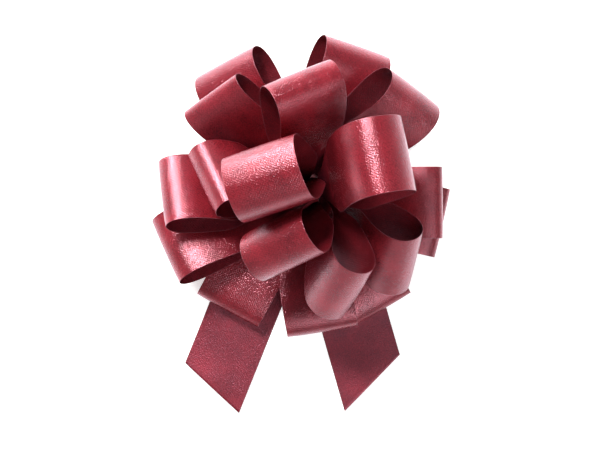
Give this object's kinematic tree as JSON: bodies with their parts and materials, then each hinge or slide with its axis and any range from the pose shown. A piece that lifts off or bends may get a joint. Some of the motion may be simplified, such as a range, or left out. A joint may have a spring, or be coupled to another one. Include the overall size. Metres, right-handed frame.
{
  "type": "gift bow",
  "caption": "Pull bow of satin ribbon: a ball of ribbon loops gathered on a hub, with two slant-cut tails.",
  "frame": {"origin": "on the hub axis, at the flat underside of the lowest tack weld, which rests on the surface", "axes": "+Z along the hub axis out of the base towards the loops; the tails lie flat towards -Y; +X to the right when seen from above with the tails towards the viewer"},
  "size_m": [0.1359, 0.1726, 0.1027],
  "materials": {
    "ribbon": "embossed satin",
    "tail_ribbon": "embossed satin",
    "hub_welds": "heat-pressed",
    "pull_ribbon": "satin"
  },
  "bodies": {
    "hub": {"tack_weld_01": "hub_welds", "tack_weld_02": "hub_welds", "tack_weld_03": "hub_welds", "tack_weld_04": "hub_welds", "tack_weld_05": "hub_welds", "tack_weld_06": "hub_welds", "tack_weld_07": "hub_welds", "tack_weld_08": "hub_welds", "tack_weld_09": "hub_welds", "tack_weld_10": "hub_welds", "pull_ribbon_upper": "pull_ribbon", "pull_ribbon_lower": "pull_ribbon", "pull_knot": "pull_ribbon"},
    "loop_01_body": {"loop_01": "ribbon"},
    "loop_02_body": {"loop_02": "ribbon"},
    "loop_03_body": {"loop_03": "ribbon"},
    "loop_04_body": {"loop_04": "ribbon"},
    "loop_05_body": {"loop_05": "ribbon"},
    "loop_06_body": {"loop_06": "ribbon"},
    "loop_07_body": {"loop_07": "ribbon"},
    "loop_08_body": {"loop_08": "ribbon"},
    "loop_09_body": {"loop_09": "ribbon"},
    "loop_10_body": {"loop_10": "ribbon"},
    "loop_11_body": {"loop_11": "ribbon"},
    "loop_12_body": {"loop_12": "ribbon"},
    "loop_13_body": {"loop_13": "ribbon"},
    "loop_14_body": {"loop_14": "ribbon"},
    "loop_15_body": {"loop_15": "ribbon"},
    "loop_16_body": {"loop_16": "ribbon"},
    "loop_17_body": {"loop_17": "ribbon"},
    "loop_18_body": {"loop_18": "ribbon"},
    "tail_left_body": {"tail_left": "tail_ribbon"},
    "tail_right_body": {"tail_right": "tail_ribbon"}
  },
  "joints": [
    {"name": "loop_01_flex", "type": "hinge", "parent": "hub", "child": "loop_01_body", "pos_m": [0.00573, -0.00593, 0.006], "axis": [0.866, 0.5, 0], "range_deg": [-3, 0], "stiffness_Nm_per_rad": 0.05},
    {"name": "loop_02_flex", "type": "hinge", "parent": "hub", "child": "loop_02_body", "pos_m": [-0.00825, -0.00457, 0.007], "axis": [0.8746, -0.4848, 0], "range_deg": [-3, 0.5], "stiffness_Nm_per_rad": 0.05},
    {"name": "loop_03_flex", "type": "hinge", "parent": "hub", "child": "loop_03_body", "pos_m": [0.00756, -0.00277, 0.00942], "axis": [0.225, 0.9744, 0], "range_deg": [-3, 3], "stiffness_Nm_per_rad": 0.05},
    {"name": "loop_04_flex", "type": "hinge", "parent": "hub", "child": "loop_04_body", "pos_m": [-0.00733, 0.00497, 0.01025], "axis": [-0.8299, -0.3872, -0.4017], "range_deg": [-2, 2], "stiffness_Nm_per_rad": 0.05},
    {"name": "loop_05_flex", "type": "hinge", "parent": "hub", "child": "loop_05_body", "pos_m": [-0.00257, -0.00845, 0.01439], "axis": [0.9848, 0.1736, 0], "range_deg": [-6, 3], "stiffness_Nm_per_rad": 0.05},
    {"name": "loop_06_flex", "type": "hinge", "parent": "hub", "child": "loop_06_body", "pos_m": [-0.00725, -0.00323, 0.01397], "axis": [0.4212, -0.8535, 0.3067], "range_deg": [-2, 3], "stiffness_Nm_per_rad": 0.05},
    {"name": "loop_07_flex", "type": "hinge", "parent": "hub", "child": "loop_07_body", "pos_m": [0.00779, -0.006, 0.0168], "axis": [0, 1, 0], "range_deg": [-2, 3], "stiffness_Nm_per_rad": 0.05},
    {"name": "loop_08_flex", "type": "hinge", "parent": "hub", "child": "loop_08_body", "pos_m": [0.0026, 0.00754, 0.0137], "axis": [-0.908, 0.2842, 0.3078], "range_deg": [-6, 2.5], "stiffness_Nm_per_rad": 0.05},
    {"name": "loop_09_flex", "type": "hinge", "parent": "hub", "child": "loop_09_body", "pos_m": [-0.00761, -0.002, 0.01747], "axis": [0.1403, -0.891, 0.4318], "range_deg": [-2, 2], "stiffness_Nm_per_rad": 0.05},
    {"name": "loop_10_flex", "type": "hinge", "parent": "hub", "child": "loop_10_body", "pos_m": [0.00613, -0.00352, 0.02188], "axis": [0.1281, 0.7491, 0.65], "range_deg": [-2, 2.5], "stiffness_Nm_per_rad": 0.05},
    {"name": "loop_11_flex", "type": "hinge", "parent": "hub", "child": "loop_11_body", "pos_m": [-0.00289, 0.00765, 0.01663], "axis": [-0.7274, -0.4719, -0.4982], "range_deg": [-1, 3.5], "stiffness_Nm_per_rad": 0.05},
    {"name": "loop_12_flex", "type": "hinge", "parent": "hub", "child": "loop_12_body", "pos_m": [0.00375, 0.00689, 0.01938], "axis": [-0.6958, 0.4366, 0.5704], "range_deg": [-4, 5], "stiffness_Nm_per_rad": 0.05},
    {"name": "loop_13_flex", "type": "hinge", "parent": "hub", "child": "loop_13_body", "pos_m": [-0.00661, 0.00566, 0.02392], "axis": [0.4037, -0.789, 0.4632], "range_deg": [-1.5, 3], "stiffness_Nm_per_rad": 0.05},
    {"name": "loop_14_flex", "type": "hinge", "parent": "hub", "child": "loop_14_body", "pos_m": [0.00061, 0.00561, 0.03275], "axis": [-0.8661, -0.3879, 0.3154], "range_deg": [-3.5, 6], "stiffness_Nm_per_rad": 0.05},
    {"name": "loop_15_flex", "type": "hinge", "parent": "hub", "child": "loop_15_body", "pos_m": [0.00627, -0.00493, 0.02603], "axis": [0.3646, 0.6435, 0.673], "range_deg": [-2, 2.5], "stiffness_Nm_per_rad": 0.05},
    {"name": "loop_16_flex", "type": "hinge", "parent": "hub", "child": "loop_16_body", "pos_m": [0.00469, -0.0001, 0.03478], "axis": [-0.1924, 0.9717, -0.1372], "range_deg": [-3.5, 6], "stiffness_Nm_per_rad": 0.05},
    {"name": "loop_17_flex", "type": "hinge", "parent": "hub", "child": "loop_17_body", "pos_m": [0.0014, -0.00557, 0.03586], "axis": [0.8042, 0.3929, 0.446], "range_deg": [-0.6, 2], "stiffness_Nm_per_rad": 0.05},
    {"name": "loop_18_flex", "type": "hinge", "parent": "hub", "child": "loop_18_body", "pos_m": [-0.00207, 0.003, 0.03773], "axis": [-0.9237, -0.2924, -0.2475], "range_deg": [-0.6, 6], "stiffness_Nm_per_rad": 0.05},
    {"name": "tail_left_swing", "type": "hinge", "parent": "hub", "child": "tail_left_body", "pos_m": [-0.00884, -0.00506, 0.00015], "axis": [0, 0, 1], "range_deg": [-12, 2]},
    {"name": "tail_right_swing", "type": "hinge", "parent": "hub", "child": "tail_right_body", "pos_m": [0.00672, -0.00639, 0.00015], "axis": [0, 0, 1], "range_deg": [-2, 12]}
  ]
}
